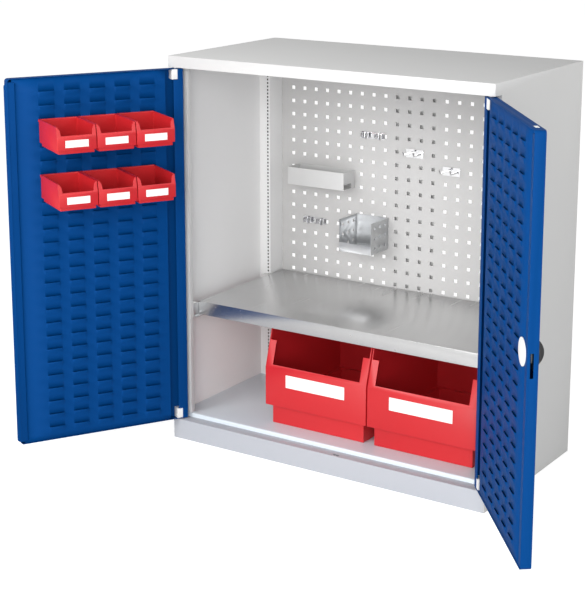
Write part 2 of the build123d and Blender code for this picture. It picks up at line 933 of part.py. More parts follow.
def make_tool_clip(hole):
    """Plate with two curled spring clips."""
    x, y, z = fitting_origin((hole,))
    plate = slab(
        x - clip_plate_width / 2,
        x + clip_plate_width / 2,
        y - clip_plate_gauge,
        y,
        z - clip_plate_height / 2,
        z + clip_plate_height / 2,
    )
    ring = Circle(clip_ring_radius) - Circle(clip_ring_radius - clip_ring_gauge)
    ring -= Pos(0, -clip_ring_radius) * Rectangle(clip_mouth, 2 * clip_ring_radius)
    low = z - clip_ring_height / 2
    rings = []
    for sign in (-1, 1):
        centre = Pos(
            x + sign * clip_ring_spacing / 2,
            y - clip_plate_gauge - clip_ring_radius + clip_ring_gauge / 2,
        )
        rings.append(along_z(centre * ring, low, low + clip_ring_height))
    return plate.fuse(*rings, *hook_tabs((hole,)))


def make_double_hook(holes):
    """Plate with two prongs that turn up at their ends."""
    x, y, z = fitting_origin(holes)
    plate = slab(
        x - hook_plate_width / 2,
        x + hook_plate_width / 2,
        y - clip_plate_gauge,
        y,
        z - hook_plate_height / 2,
        z + hook_plate_height / 2,
    )
    start = y - clip_plate_gauge / 2
    path = Polyline(
        (0, start, z),
        (0, start - prong_reach, z),
        (0, start - prong_reach - prong_upturn / 2, z + prong_upturn),
    )
    section = Plane((0, start, z), z_dir=(0, -1, 0)) * Circle(prong_radius)
    prong = sweep(section, path, transition=Transition.RIGHT)
    prongs = [Pos(x + sign * prong_spacing / 2, 0, 0) * prong for sign in (-1, 1)]
    return plate.fuse(*prongs, *hook_tabs(holes))


# ---- hanging the leaves


def hang(part, opening):
    """A piece drawn in the leaf's frame, hung on the left side and swung open."""
    x = -cabinet_width / 2 + leaf_side_gap
    placed = Pos(x, front, leaf_low) * part
    pivot = Pos(x + pivot_inset, front + pivot_depth, 0)
    return pivot * Rot(0, 0, -opening) * pivot.inverse() * placed


def hang_left(part):
    return hang(part, left_opening)


def hang_right(part):
    return mirrored(hang(part, right_opening))


def build_nodes():
    side = make_side_panel()
    front_post = make_post(post_front, front_post_return)
    rear_post = make_post(rear_post_front, rear_post_depth)
    pins = make_hinge_pins()
    nodes = {
        "top_panel": make_top_panel(),
        "right_side_panel": side,
        "left_side_panel": mirrored(side),
        "floor_panel": make_floor_panel(),
        "plinth": make_plinth(),
        "right_front_post": front_post,
        "left_front_post": mirrored(front_post),
        "right_rear_post": rear_post,
        "left_rear_post": mirrored(rear_post),
        "perforated_wall": make_perforated_wall(),
        "lower_rear_panel": make_wall_tray(0, wall_joint_height),
        "wall_stiffener": make_wall_stiffener(),
        "left_hinge_pins": pins,
        "right_hinge_pins": mirrored(pins),
        "shelf": make_shelf(),
        "shelf_supports": make_shelf_supports(),
        "shelf_clips": make_shelf_clips(),
        "tool_tray": make_tool_tray(),
        "box_holder": make_box_holder(),
        "upper_tool_clip": make_tool_clip(upper_clip_hole),
        "lower_tool_clip": make_tool_clip(lower_clip_hole),
        "left_double_hook": make_double_hook(left_hook_holes),
        "right_double_hook": make_double_hook(right_hook_holes),
    }
    bushes = make_bushes()
    panel = make_louvred_panel()
    nodes["left_door_skin"] = hang_left(make_leaf_skin())
    nodes["left_louvred_panel"] = hang_left(panel)
    nodes["left_hinge_bushes"] = hang_left(bushes)
    nodes["meeting_strip"] = hang_left(make_meeting_strip())
    nodes["right_door_skin"] = hang_right(make_right_skin())
    nodes["right_louvred_panel"] = hang_right(panel)
    nodes["right_hinge_bushes"] = hang_right(bushes)
    nodes["handle_rose"] = hang_right(make_rose())
    nodes["turning_handle"] = hang_right(make_handle())
    nodes["lock_cylinder"] = hang_right(make_lock_cylinder())
    nodes["spindle"] = hang_right(make_spindle())
    nodes["latch_cam"] = hang_right(make_latch_cam())
    upper = make_upper_rod()
    nodes["upper_lock_rod"] = hang_right(at_spindle(upper))
    nodes["lower_lock_rod"] = hang_right(at_spindle(Rot(0, 180, 0) * upper))
    nodes["rod_guides"] = hang_right(make_rod_guides())
    nodes["lock_plate"] = hang_right(make_lock_plate())
    nodes["inner_cover"] = hang_right(make_inner_cover())
    small = make_small_bin()
    small_card = make_label(small_depth, small_height, small_label, small_label_drop)
    for i in range(small_columns * len(small_rows)):
        nodes[f"small_bin_{i + 1}"] = hang_left(small_place(i) * small)
        nodes[f"small_label_{i + 1}"] = hang_left(small_place(i) * small_card)
    large = make_bin(large_width, large_depth, large_height, large_wall, large_flange, large_base_height)
    large = Rot(0, 0, 180) * large
    large_card = Rot(0, 0, 180) * make_label(large_depth, large_height, large_label, large_label_drop)
    for i in range(2):
        x = large_first + large_width / 2 + i * (large_width + large_gap)
        place = Pos(x, post_front + large_setback + large_depth, floor_top + seat_gap)
        nodes[f"large_bin_{i + 1}"] = place * large
        nodes[f"large_label_{i + 1}"] = place * large_card
    return nodes


os.makedirs("parts", exist_ok=True)
for name, shape in build_nodes().items():
    solids = shape.solids()
    export_step(solids[0] if len(solids) == 1 else Compound(list(solids)), f"parts/{name}.step")
    print(name, len(solids))
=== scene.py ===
import json
import math

import bmesh
import bpy
import numpy as np
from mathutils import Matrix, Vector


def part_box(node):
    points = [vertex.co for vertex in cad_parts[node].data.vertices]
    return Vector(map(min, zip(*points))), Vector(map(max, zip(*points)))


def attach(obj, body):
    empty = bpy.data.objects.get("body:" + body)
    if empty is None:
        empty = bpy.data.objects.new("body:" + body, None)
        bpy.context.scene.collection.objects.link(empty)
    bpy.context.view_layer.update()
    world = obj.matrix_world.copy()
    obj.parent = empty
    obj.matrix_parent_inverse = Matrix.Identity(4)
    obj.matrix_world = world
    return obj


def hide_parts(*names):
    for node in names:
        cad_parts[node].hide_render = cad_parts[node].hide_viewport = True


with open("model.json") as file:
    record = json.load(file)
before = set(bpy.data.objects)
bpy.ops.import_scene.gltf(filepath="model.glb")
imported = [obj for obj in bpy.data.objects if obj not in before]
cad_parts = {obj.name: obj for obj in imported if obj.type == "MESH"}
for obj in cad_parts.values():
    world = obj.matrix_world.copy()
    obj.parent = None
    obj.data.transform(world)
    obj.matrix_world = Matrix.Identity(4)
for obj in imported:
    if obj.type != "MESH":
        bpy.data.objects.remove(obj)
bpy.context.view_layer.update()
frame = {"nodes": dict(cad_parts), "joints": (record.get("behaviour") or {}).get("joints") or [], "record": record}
nodes = frame["nodes"]
record = frame["record"]
joints = {joint["name"]: joint for joint in frame["joints"]}
slotOf = {part["node"]: part["material_slot"] for part in record["subparts"]}
bodyOf = {node: body for body, members in record["behaviour"]["bodies"].items() for node in members}
print("frame loaded:", len(nodes), "nodes")


# camera, light and floor

view = {
    "place": (2.0732, -3.2779, 1.5695),   # metres, in the cabinet's frame
    "yaw": 0.5837,
    "pitch": 0.2212,
    "lens": 95.04,
    "sensor": 36.0,
    "shiftUp": -0.15,
    "clipEnd": 200.0,
}

studio = {
    "surround": (1.0, 1.0, 1.0),
    "surroundStrength": 0.62,
    "surroundLift": 0.5,       # both lifts are light that only the camera sees, to read as white
    "aim": (0.0, 0.2, 0.6),
    "floorReach": 60.0,
    "floorColour": (0.72, 0.72, 0.72, 1.0),
    "floorTone": 0.01,
    "floorToneScale": 0.4,
    "floorRoughness": 0.9,
    "floorGloss": 0.1,
    "floorLift": 0.56,
}

softboxes = {
    "keySoftbox": {"place": (-1.6, -4.2, 2.5), "size": 2.6, "power": 130.0},
    "sideSoftbox": {"place": (4.2, -0.6, 2.2), "size": 2.4, "power": 32.0},
    "frontSoftbox": {"place": (2.2, -4.3, 1.5), "size": 3.2, "power": 160.0},
}


def makeCamera():
    camera = bpy.data.objects.new("photoCamera", bpy.data.cameras.new("photoCamera"))
    camera.data.lens = view["lens"]
    camera.data.sensor_width = view["sensor"]
    camera.data.shift_y = view["shiftUp"]
    camera.data.clip_end = view["clipEnd"]
    camera.location = view["place"]
    camera.rotation_euler = (math.pi / 2 - view["pitch"], 0.0, view["yaw"])
    bpy.context.scene.collection.objects.link(camera)
    bpy.context.scene.camera = camera


def makeSoftbox(name, values):
    lamp = bpy.data.lights.new(name, "AREA")
    lamp.shape = "SQUARE"
    lamp.size = values["size"]
    lamp.energy = values["power"]
    box = bpy.data.objects.new(name, lamp)
    box.location = values["place"]
    towards = np.array(studio["aim"]) - np.array(values["place"])
    yaw = math.atan2(-towards[0], towards[1])
    pitch = math.atan2(towards[2], math.hypot(towards[0], towards[1]))
    box.rotation_euler = (math.pi / 2 + pitch, 0.0, yaw)
    bpy.context.scene.collection.objects.link(box)


def makeStudio():
    world = bpy.data.worlds.new("paleStudio")
    world.use_nodes = True
    tree = world.node_tree
    background = tree.nodes["Background"]
    background.inputs["Color"].default_value = (*studio["surround"], 1.0)
    lift = forCameraOnly(tree, studio["surroundLift"])
    strength = arithmetic(tree, "ADD", lift, studio["surroundStrength"])
    tree.links.new(strength, background.inputs["Strength"])
    bpy.context.scene.world = world
    bpy.context.scene.view_settings.view_transform = "Standard"
    for name, values in softboxes.items():
        makeSoftbox(name, values)

    reach = studio["floorReach"]
    corners = [(-reach, -reach, 0), (reach, -reach, 0), (reach, reach, 0), (-reach, reach, 0)]
    mesh = bpy.data.meshes.new("studioFloor")
    mesh.from_pydata(corners, [], [(0, 1, 2, 3)])
    ground = bpy.data.objects.new("studioFloor", mesh)
    bpy.context.scene.collection.objects.link(ground)
    ground.data.materials.append(makeFloorPaint())


# shader groups that several finishes share


def shaderGroup(name, inputs, outputs):
    group = bpy.data.node_groups.new(name, "ShaderNodeTree")
    for label, kind, value in inputs:
        socket = group.interface.new_socket(name=label, in_out="INPUT", socket_type=kind)
        socket.default_value = value
    for label, kind in outputs:
        group.interface.new_socket(name=label, in_out="OUTPUT", socket_type=kind)
    return group, group.nodes.new("NodeGroupInput"), group.nodes.new("NodeGroupOutput")


def node(tree, kind, **settings):
    made = tree.nodes.new(kind)
    for name, value in settings.items():
        if name in made.inputs:
            made.inputs[name].default_value = value
        else:
            setattr(made, name, value)
    return made


def arithmetic(tree, operation, first, second):
    made = node(tree, "ShaderNodeMath", operation=operation)
    for socket, value in zip(made.inputs, (first, second)):
        if isinstance(value, (int, float)):
            socket.default_value = value
        else:
            tree.links.new(value, socket)
    return made.outputs[0]


def forCameraOnly(tree, amount):
    # the amount for rays that start at the camera, nothing for all others
    path = node(tree, "ShaderNodeLightPath")
    return arithmetic(tree, "MULTIPLY", path.outputs["Is Camera Ray"], amount)


def objectPlace(tree, stretch=(1.0, 1.0, 1.0)):
    place = node(tree, "ShaderNodeTexCoord")
    mapping = node(tree, "ShaderNodeMapping")
    mapping.inputs["Scale"].default_value = stretch
    tree.links.new(place.outputs["Object"], mapping.inputs["Vector"])
    return mapping.outputs["Vector"]


groupDetail = {
    "fineRatio": 9.0,                     # scale of the finer tone noise over the broad one's
    "fineShare": 0.33,
    "hazeScale": 7.0,
    "scuffStretch": (90.0, 90.0, 11.0),
    "scuffStart": 0.62,                   # noise value where a scuff begins, and where it is full
    "scuffFull": 0.74,
}


def makeToneGroup():
    # colour = base colour x (1 + amount x (broad noise + a third of a finer noise - the mean))
    group, start, end = shaderGroup(
        "colourTone",
        [("Colour", "NodeSocketColor", (0.8, 0.8, 0.8, 1)),
         ("Scale", "NodeSocketFloat", 3.0),
         ("Amount", "NodeSocketFloat", 0.05)],
        [("Colour", "NodeSocketColor")])
    place = objectPlace(group)
    broad = node(group, "ShaderNodeTexNoise", Detail=2.0, Roughness=0.5)
    fine = node(group, "ShaderNodeTexNoise", Detail=4.0, Roughness=0.6)
    group.links.new(place, broad.inputs["Vector"])
    group.links.new(place, fine.inputs["Vector"])
    group.links.new(start.outputs["Scale"], broad.inputs["Scale"])
    finer = arithmetic(group, "MULTIPLY", start.outputs["Scale"], groupDetail["fineRatio"])
    group.links.new(finer, fine.inputs["Scale"])
    third = arithmetic(group, "MULTIPLY", fine.outputs["Fac"], groupDetail["fineShare"])
    both = arithmetic(group, "ADD", broad.outputs["Fac"], third)
    centred = arithmetic(group, "SUBTRACT", both, (1.0 + groupDetail["fineShare"]) / 2)
    swing = arithmetic(group, "MULTIPLY", centred, start.outputs["Amount"])
    factor = arithmetic(group, "ADD", swing, 1.0)
    scaled = node(group, "ShaderNodeVectorMath", operation="SCALE")
    group.links.new(start.outputs["Colour"], scaled.inputs[0])
    group.links.new(factor, scaled.inputs["Scale"])
    group.links.new(scaled.outputs["Vector"], end.inputs["Colour"])
    return group


def makeScuffGroup():
    # roughness = base + amount where a stretched noise is over its threshold, plus a broad haze
    group, start, end = shaderGroup(
        "scuffs",
        [("Roughness", "NodeSocketFloat", 0.4),
         ("Haze", "NodeSocketFloat", 0.06),
         ("Scuff", "NodeSocketFloat", 0.15)],
        [("Roughness", "NodeSocketFloat"), ("Mask", "NodeSocketFloat")])
    haze = node(group, "ShaderNodeTexNoise", Scale=groupDetail["hazeScale"], Detail=3.0)
    marks = node(group, "ShaderNodeTexNoise", Scale=1.0, Detail=5.0, Roughness=0.7)
    group.links.new(objectPlace(group), haze.inputs["Vector"])
    group.links.new(objectPlace(group, groupDetail["scuffStretch"]), marks.inputs["Vector"])
    mask = node(group, "ShaderNodeMapRange")
    mask.inputs["From Min"].default_value = groupDetail["scuffStart"]
    mask.inputs["From Max"].default_value = groupDetail["scuffFull"]
    group.links.new(marks.outputs["Fac"], mask.inputs["Value"])
    centred = arithmetic(group, "SUBTRACT", haze.outputs["Fac"], 0.5)
    hazed = arithmetic(group, "MULTIPLY", centred, start.outputs["Haze"])
    scuffed = arithmetic(group, "MULTIPLY", mask.outputs["Result"], start.outputs["Scuff"])
    both = arithmetic(group, "ADD", hazed, scuffed)
    total = arithmetic(group, "ADD", start.outputs["Roughness"], both)
    group.links.new(total, end.inputs["Roughness"])
    group.links.new(mask.outputs["Result"], end.inputs["Mask"])
    return group


def makeGrainGroup():
    # height = fine noise + a share of small rounded cells, as sprayed or moulded surfaces have
    group, start, end = shaderGroup(
        "surfaceGrain",
        [("Scale", "NodeSocketFloat", 400.0),
         ("Cells", "NodeSocketFloat", 0.4)],
        [("Height", "NodeSocketFloat")])
    place = objectPlace(group)
    noise = node(group, "ShaderNodeTexNoise", Detail=3.0, Roughness=0.55)
    cells = node(group, "ShaderNodeTexVoronoi", feature="F1")
    for texture in (noise, cells):
        group.links.new(place, texture.inputs["Vector"])
        group.links.new(start.outputs["Scale"], texture.inputs["Scale"])
    share = arithmetic(group, "MULTIPLY", cells.outputs["Distance"], start.outputs["Cells"])
    group.links.new(arithmetic(group, "ADD", noise.outputs["Fac"], share), end.inputs["Height"])
    return group


def makeStreakGroup():
    # value = noise drawn out along one direction, between 0 and 1
    group, start, end = shaderGroup(
        "rollingStreaks",
        [("Stretch", "NodeSocketVector", (300.0, 6.0, 300.0))],
        [("Value", "NodeSocketFloat")])
    place = node(group, "ShaderNodeTexCoord")
    stretched = node(group, "ShaderNodeVectorMath", operation="MULTIPLY")
    group.links.new(place.outputs["Object"], stretched.inputs[0])
    group.links.new(start.outputs["Stretch"], stretched.inputs[1])
    noise = node(group, "ShaderNodeTexNoise", Scale=1.0, Detail=4.0, Roughness=0.6)
    group.links.new(stretched.outputs["Vector"], noise.inputs["Vector"])
    group.links.new(noise.outputs["Fac"], end.inputs["Value"])
    return group


toneGroup = makeToneGroup()
scuffGroup = makeScuffGroup()
grainGroup = makeGrainGroup()
streakGroup = makeStreakGroup()


# finishes


# values that every finish of one kind shares, depths in metres
enamelKind = {"toneScale": 2.2, "haze": 0.08, "cells": 0.5, "coatRoughness": 0.2, "depth": 0.0003}
plasticKind = {"toneScale": 9.0, "haze": 0.1, "scuff": 0.12, "cells": 0.8, "depth": 0.0002}
metalKind = {"metallic": 1.0, "depth": 0.0002}


def blankFinish(name):
    finish = bpy.data.materials.new(name)
    finish.use_nodes = True
    return finish, finish.node_tree, finish.node_tree.nodes["Principled BSDF"]


def placed(tree, group, **values):
    made = tree.nodes.new("ShaderNodeGroup")
    made.node_tree = group
    for name, value in values.items():
        made.inputs[name].default_value = value
    return made


def bumped(tree, shader, height, strength, distance):
    bump = node(tree, "ShaderNodeBump", Strength=strength, Distance=distance)
    tree.links.new(height, bump.inputs["Height"])
    tree.links.new(bump.outputs["Normal"], shader.inputs["Normal"])


def makeFloorPaint():
    finish, tree, shader = blankFinish("floorPaint")
    tone = placed(tree, toneGroup, Colour=studio["floorColour"],
                  Scale=studio["floorToneScale"], Amount=studio["floorTone"])
    tree.links.new(tone.outputs["Colour"], shader.inputs["Base Color"])
    shader.inputs["Roughness"].default_value = studio["floorRoughness"]
    shader.inputs["Specular IOR Level"].default_value = studio["floorGloss"]
    shader.inputs["Emission Color"].default_value = (1.0, 1.0, 1.0, 1.0)
    lift = forCameraOnly(tree, studio["floorLift"])
    tree.links.new(lift, shader.inputs["Emission Strength"])
    return finish


def makeEnamel(name, look):
    # sprayed and baked paint: faint tone, orange peel, light scuffs
    finish, tree, shader = blankFinish(name)
    tone = placed(tree, toneGroup, Colour=(*look["colour"], 1.0),
                  Scale=enamelKind["toneScale"], Amount=look["tone"])
    scuff = placed(tree, scuffGroup, Roughness=look["roughness"],
                   Haze=enamelKind["haze"], Scuff=look["scuff"])
    grain = placed(tree, grainGroup, Scale=look["peelScale"], Cells=enamelKind["cells"])
    tree.links.new(tone.outputs["Colour"], shader.inputs["Base Color"])
    tree.links.new(scuff.outputs["Roughness"], shader.inputs["Roughness"])
    shader.inputs["Specular IOR Level"].default_value = look["gloss"]
    shader.inputs["Coat Weight"].default_value = look["coat"]
    shader.inputs["Coat Roughness"].default_value = enamelKind["coatRoughness"]
    bumped(tree, shader, grain.outputs["Height"], look["peel"], enamelKind["depth"])
    return finish


def makeSheetMetal(name, look):
    # rolled or plated steel: streaks in colour and roughness, with a faint scratch relief
    finish, tree, shader = blankFinish(name)
    streak = placed(tree, streakGroup, Stretch=look["stretch"])
    tone = placed(tree, toneGroup, Colour=(*look["colour"], 1.0),
                  Scale=look["toneScale"], Amount=look["tone"])
    shade = node(tree, "ShaderNodeMix", data_type="RGBA", blend_type="MULTIPLY")
    shade.inputs["Factor"].default_value = look["streak"]
    tree.links.new(tone.outputs["Colour"], shade.inputs["A"])
    tree.links.new(streak.outputs["Value"], shade.inputs["B"])
    tree.links.new(shade.outputs["Result"], shader.inputs["Base Color"])
    spread = node(tree, "ShaderNodeMapRange")
    spread.inputs["To Min"].default_value = look["roughness"][0]
    spread.inputs["To Max"].default_value = look["roughness"][1]
    tree.links.new(streak.outputs["Value"], spread.inputs["Value"])
    tree.links.new(spread.outputs["Result"], shader.inputs["Roughness"])
    shader.inputs["Metallic"].default_value = metalKind["metallic"]
    bumped(tree, shader, streak.outputs["Value"], look["relief"], metalKind["depth"])
    return finish


def makePlastic(name, look):
    # moulded plastic: fine grain, faint flow tone and handling haze
    finish, tree, shader = blankFinish(name)
    tone = placed(tree, toneGroup, Colour=(*look["colour"], 1.0),
                  Scale=plasticKind["toneScale"], Amount=look["tone"])
    scuff = placed(tree, scuffGroup, Roughness=look["roughness"],
                   Haze=plasticKind["haze"], Scuff=plasticKind["scuff"])
    grain = placed(tree, grainGroup, Scale=look["grainScale"], Cells=plasticKind["cells"])
    tree.links.new(tone.outputs["Colour"], shader.inputs["Base Color"])
    tree.links.new(scuff.outputs["Roughness"], shader.inputs["Roughness"])
    bumped(tree, shader, grain.outputs["Height"], look["grain"], plasticKind["depth"])
    return finish


def makeCard(name, look):
    # label card: short fibres in tone and relief
    finish, tree, shader = blankFinish(name)
    fibre = placed(tree, streakGroup, Stretch=look["stretch"])
    tone = placed(tree, toneGroup, Colour=(*look["colour"], 1.0),
                  Scale=look["toneScale"], Amount=look["tone"])
    tree.links.new(tone.outputs["Colour"], shader.inputs["Base Color"])
    shader.inputs["Roughness"].default_value = look["roughness"]
    bumped(tree, shader, fibre.outputs["Value"], look["relief"], look["depth"])
    return finish


enamelLook = {
    "carcassGrey": {"colour": (0.60, 0.60, 0.595), "tone": 0.05, "roughness": 0.42, "scuff": 0.08,
                    "peelScale": 420.0, "peel": 0.12, "coat": 0.05, "gloss": 0.4},
    # the carcass enamel made brighter for the inner faces: painted light
    "innerGrey": {"colour": (0.82, 0.815, 0.81), "tone": 0.04, "roughness": 0.45, "scuff": 0.06,
                  "peelScale": 420.0, "peel": 0.10, "coat": 0.05, "gloss": 0.4},
    "wallGrey": {"colour": (0.54, 0.535, 0.53), "tone": 0.04, "roughness": 0.6, "scuff": 0.06,
                 "peelScale": 420.0, "peel": 0.10, "coat": 0.0, "gloss": 0.15},
    # the carcass enamel made brighter and bluer for the floor panel: painted light
    "floorGrey": {"colour": (0.70, 0.76, 0.81), "tone": 0.06, "roughness": 0.38, "scuff": 0.14,
                  "peelScale": 420.0, "peel": 0.10, "coat": 0.05, "gloss": 0.4},
    # the carcass enamel made darker and bluer for the plinth: painted shade
    "plinthGrey": {"colour": (0.445, 0.46, 0.495), "tone": 0.06, "roughness": 0.4, "scuff": 0.12,
                   "peelScale": 420.0, "peel": 0.12, "coat": 0.05, "gloss": 0.4},
    "doorBlue": {"colour": (0.0, 0.048, 0.20), "tone": 0.10, "roughness": 0.55, "scuff": 0.05,
                 "peelScale": 420.0, "peel": 0.12, "coat": 0.0, "gloss": 0.06},
}

metalLook = {
    "shelfZinc": {"colour": (0.70, 0.70, 0.70), "tone": 0.10, "toneScale": 12.0, "streak": 0.10,
                  "stretch": (130.0, 3.0, 130.0), "roughness": (0.22, 0.30), "relief": 0.04},
    "platedSteel": {"colour": (0.6, 0.61, 0.62), "tone": 0.15, "toneScale": 60.0, "streak": 0.2,
                    "stretch": (20.0, 400.0, 400.0), "roughness": (0.25, 0.4), "relief": 0.12},
    "brightChrome": {"colour": (0.8, 0.8, 0.81), "tone": 0.08, "toneScale": 90.0, "streak": 0.08,
                     "stretch": (60.0, 500.0, 500.0), "roughness": (0.06, 0.16), "relief": 0.05},
}

plasticLook = {
    "binRed": {"colour": (0.56, 0.017, 0.022), "tone": 0.10, "roughness": 0.36,
               "grainScale": 650.0, "grain": 0.10},
    "coverWhite": {"colour": (0.82, 0.82, 0.80), "tone": 0.05, "roughness": 0.45,
                   "grainScale": 800.0, "grain": 0.10},
    "handleBlack": {"colour": (0.018, 0.018, 0.02), "tone": 0.20, "roughness": 0.42,
                    "grainScale": 900.0, "grain": 0.25},
    # dark plates standing in for the shade inside the posts' slots: painted shade
    "slotShade": {"colour": (0.04, 0.04, 0.042), "tone": 0.20, "roughness": 0.8,
                  "grainScale": 900.0, "grain": 0.10},
}

cardLook = {
    "labelCard": {"colour": (0.86, 0.85, 0.82), "tone": 0.06, "toneScale": 30.0,
                  "stretch": (700.0, 700.0, 1500.0), "roughness": 0.65, "relief": 0.3,
                  "depth": 0.0002},
}

finishes = {name: makeEnamel(name, look) for name, look in enamelLook.items()}
finishes.update({name: makeSheetMetal(name, look) for name, look in metalLook.items()})
finishes.update({name: makePlastic(name, look) for name, look in plasticLook.items()})
finishes.update({name: makeCard(name, look) for name, look in cardLook.items()})

finishOfSlot = {
    "light_grey_enamel": "carcassGrey",
    "blue_enamel": "doorBlue",
    "galvanised_steel": "shelfZinc",
    "zinc_steel": "platedSteel",
    "chromed_steel": "brightChrome",
    "red_plastic": "binRed",
    "white_plastic": "coverWhite",
    "black_plastic": "handleBlack",
    "paper": "labelCard",
}
finishOfNode = {name: finishOfSlot[slot] for name, slot in slotOf.items()}
# the plinth takes the darker, bluer copy of the carcass enamel: painted shade
finishOfNode["plinth"] = "plinthGrey"
# the floor panel takes the brighter, bluer copy of the carcass enamel: painted light
finishOfNode["floor_panel"] = "floorGrey"
finishOfNode["perforated_wall"] = "wallGrey"
# the inner faces take the brighter copy of the carcass enamel: painted light
for name in ("lower_rear_panel", "left_rear_post", "right_rear_post", "left_side_panel"):
    finishOfNode[name] = "innerGrey"

for name, cadObject in nodes.items():
    cadObject.data.materials.clear()
    cadObject.data.materials.append(finishes[finishOfNode[name]])
print("finishes made:", len(finishes))


# making pieces


def camel(name):
    first, *rest = name.split("_")
    return first + "".join(word.capitalize() for word in rest)


def addPiece(name, mesh, finish, body):
    piece = bpy.data.objects.new(name, mesh)
    bpy.context.scene.collection.objects.link(piece)
    mesh.materials.clear()
    mesh.materials.append(finishes[finish])
    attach(piece, body)
    return piece


rounding = {
    "ownWeld": 1e-6,       # metres: vertices of own surfaces nearer than this become one
    "weld": 2e-6,          # metres: the same for the CAD's vertices
    "flat": 1.0,           # degrees: faces nearer to flat than this become one
    "sharp": 35.0,         # degrees: edges sharper than this are rounded
    "segments": 2,
}


def surfaceMesh(name, points, faces, weld=True):
    mesh = bpy.data.meshes.new(name)
    mesh.from_pydata(points.tolist(), [], faces.tolist())
    if weld:
        shape = bmesh.new()
        shape.from_mesh(mesh)
        bmesh.ops.remove_doubles(shape, verts=shape.verts, dist=rounding["ownWeld"])
        bmesh.ops.dissolve_degenerate(shape, edges=shape.edges, dist=rounding["ownWeld"])
        shape.to_mesh(mesh)
        shape.free()
    return mesh


def softenedCopy(name, width):
    # a copy of a CAD node with its edges rounded by the width given, or only shaded smooth at 0
    mesh = nodes[name].data.copy()
    shape = bmesh.new()
    shape.from_mesh(mesh)
    bmesh.ops.remove_doubles(shape, verts=shape.verts, dist=rounding["weld"])
    bmesh.ops.dissolve_limit(shape, angle_limit=math.radians(rounding["flat"]),
                             verts=shape.verts, edges=shape.edges)
    shape.to_mesh(mesh)
    shape.free()
    piece = addPiece(camel(name), mesh, finishOfNode[name], bodyOf[name])
    mesh.shade_smooth()
    if width:
        bevel = piece.modifiers.new("edges", "BEVEL")
        bevel.width = width
        bevel.segments = rounding["segments"]
        bevel.limit_method = "ANGLE"
        bevel.angle_limit = math.radians(rounding["sharp"])
        bevel.harden_normals = True
    else:
        mesh.set_sharp_from_angle(angle=math.radians(rounding["sharp"]))
    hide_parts(name)


# width of the rounded edges of each piece, in metres
softening = {
    "top_panel": 0.0008, "left_side_panel": 0.0004, "right_side_panel": 0.0004, "plinth": 0.0008,
    "floor_panel": 0.0004, "left_front_post": 0.0005, "right_front_post": 0.0005,
    "left_rear_post": 0.0005, "right_rear_post": 0.0005,
    "shelf": 0.0005, "tool_tray": 0.0006, "box_holder": 0.0005, "left_door_skin": 0.0005,
    "right_door_skin": 0.0005, "meeting_strip": 0.0004, "turning_handle": 0.0012,
    "handle_rose": 0.0, "lock_cylinder": 0.0, "inner_cover": 0.0,
    "shelf_clips": 0.0006, "shelf_supports": 0.0004,
    "left_hinge_bushes": 0.0006, "right_hinge_bushes": 0.0006, "left_hinge_pins": 0.0,
    "right_hinge_pins": 0.0, "upper_tool_clip": 0.0, "lower_tool_clip": 0.0,
    "left_double_hook": 0.0, "right_double_hook": 0.0, "latch_cam": 0.0, "spindle": 0.0,
    "rod_guides": 0.0005,
}
for number in range(1, 7):
    softening[f"small_bin_{number}"] = 0.0007
for number in range(1, 3):
    softening[f"large_bin_{number}"] = 0.0018

for name, width in softening.items():
    softenedCopy(name, width)
print("edges softened:", len(softening))


# doors

leaf = {
    "thickness": 0.025,
    "width": 0.4735,
    "height": 0.964,
    "low": 0.058,          # bottom edge above the floor
    "pivotInset": 0.0155,
}


def hungOnDoor(points, side):
    # leaf frame (x from the hinge edge, y inwards, z up) turned about the hinge as the door stands
    joint = joints[side + "_door_swing"]
    turn = math.radians(joint["range_deg"][0])
    x = points[:, 0] - leaf["pivotInset"]
    y = points[:, 1] - leaf["thickness"] / 2
    placedX = -abs(joint["pos_m"][0]) + x * math.cos(turn) - y * math.sin(turn)
    placedY = joint["pos_m"][1] + x * math.sin(turn) + y * math.cos(turn)
    if side == "right":
        placedX = -placedX
    return np.stack([placedX, placedY, points[:, 2] + leaf["low"]], axis=1)


louvres = {
    "columns": 5,
    "rows": 26,
    "pitchAcross": 0.068,
    "pitchDown": 0.0357,
    "width": 0.044,
    "height": 0.017,
    "rise": 0.0033,
    "topDrop": 0.036,      # leaf's top edge to the first mouth
    "sideRun": 0.0045,     # width of the rounded ends
    "sheetLevel": 0.0236,  # inner face of the panel, from the leaf's outer face
    "gauge": 0.0012,
    "start": 0.050,
    "end": 0.4625,
    "margin": 0.002,
    "turnedEdge": 0.0013,  # level that the panel's edge is turned down to
    "endSteps": (0.0, 0.3, 0.65, 1.0),
    "downSteps": (0.0, 0.22, 0.5, 0.78, 1.0),
    "downShares": (1.0, 0.84, 0.53, 0.2, 0.0),
    "sharp": 40.0,         # degrees
}


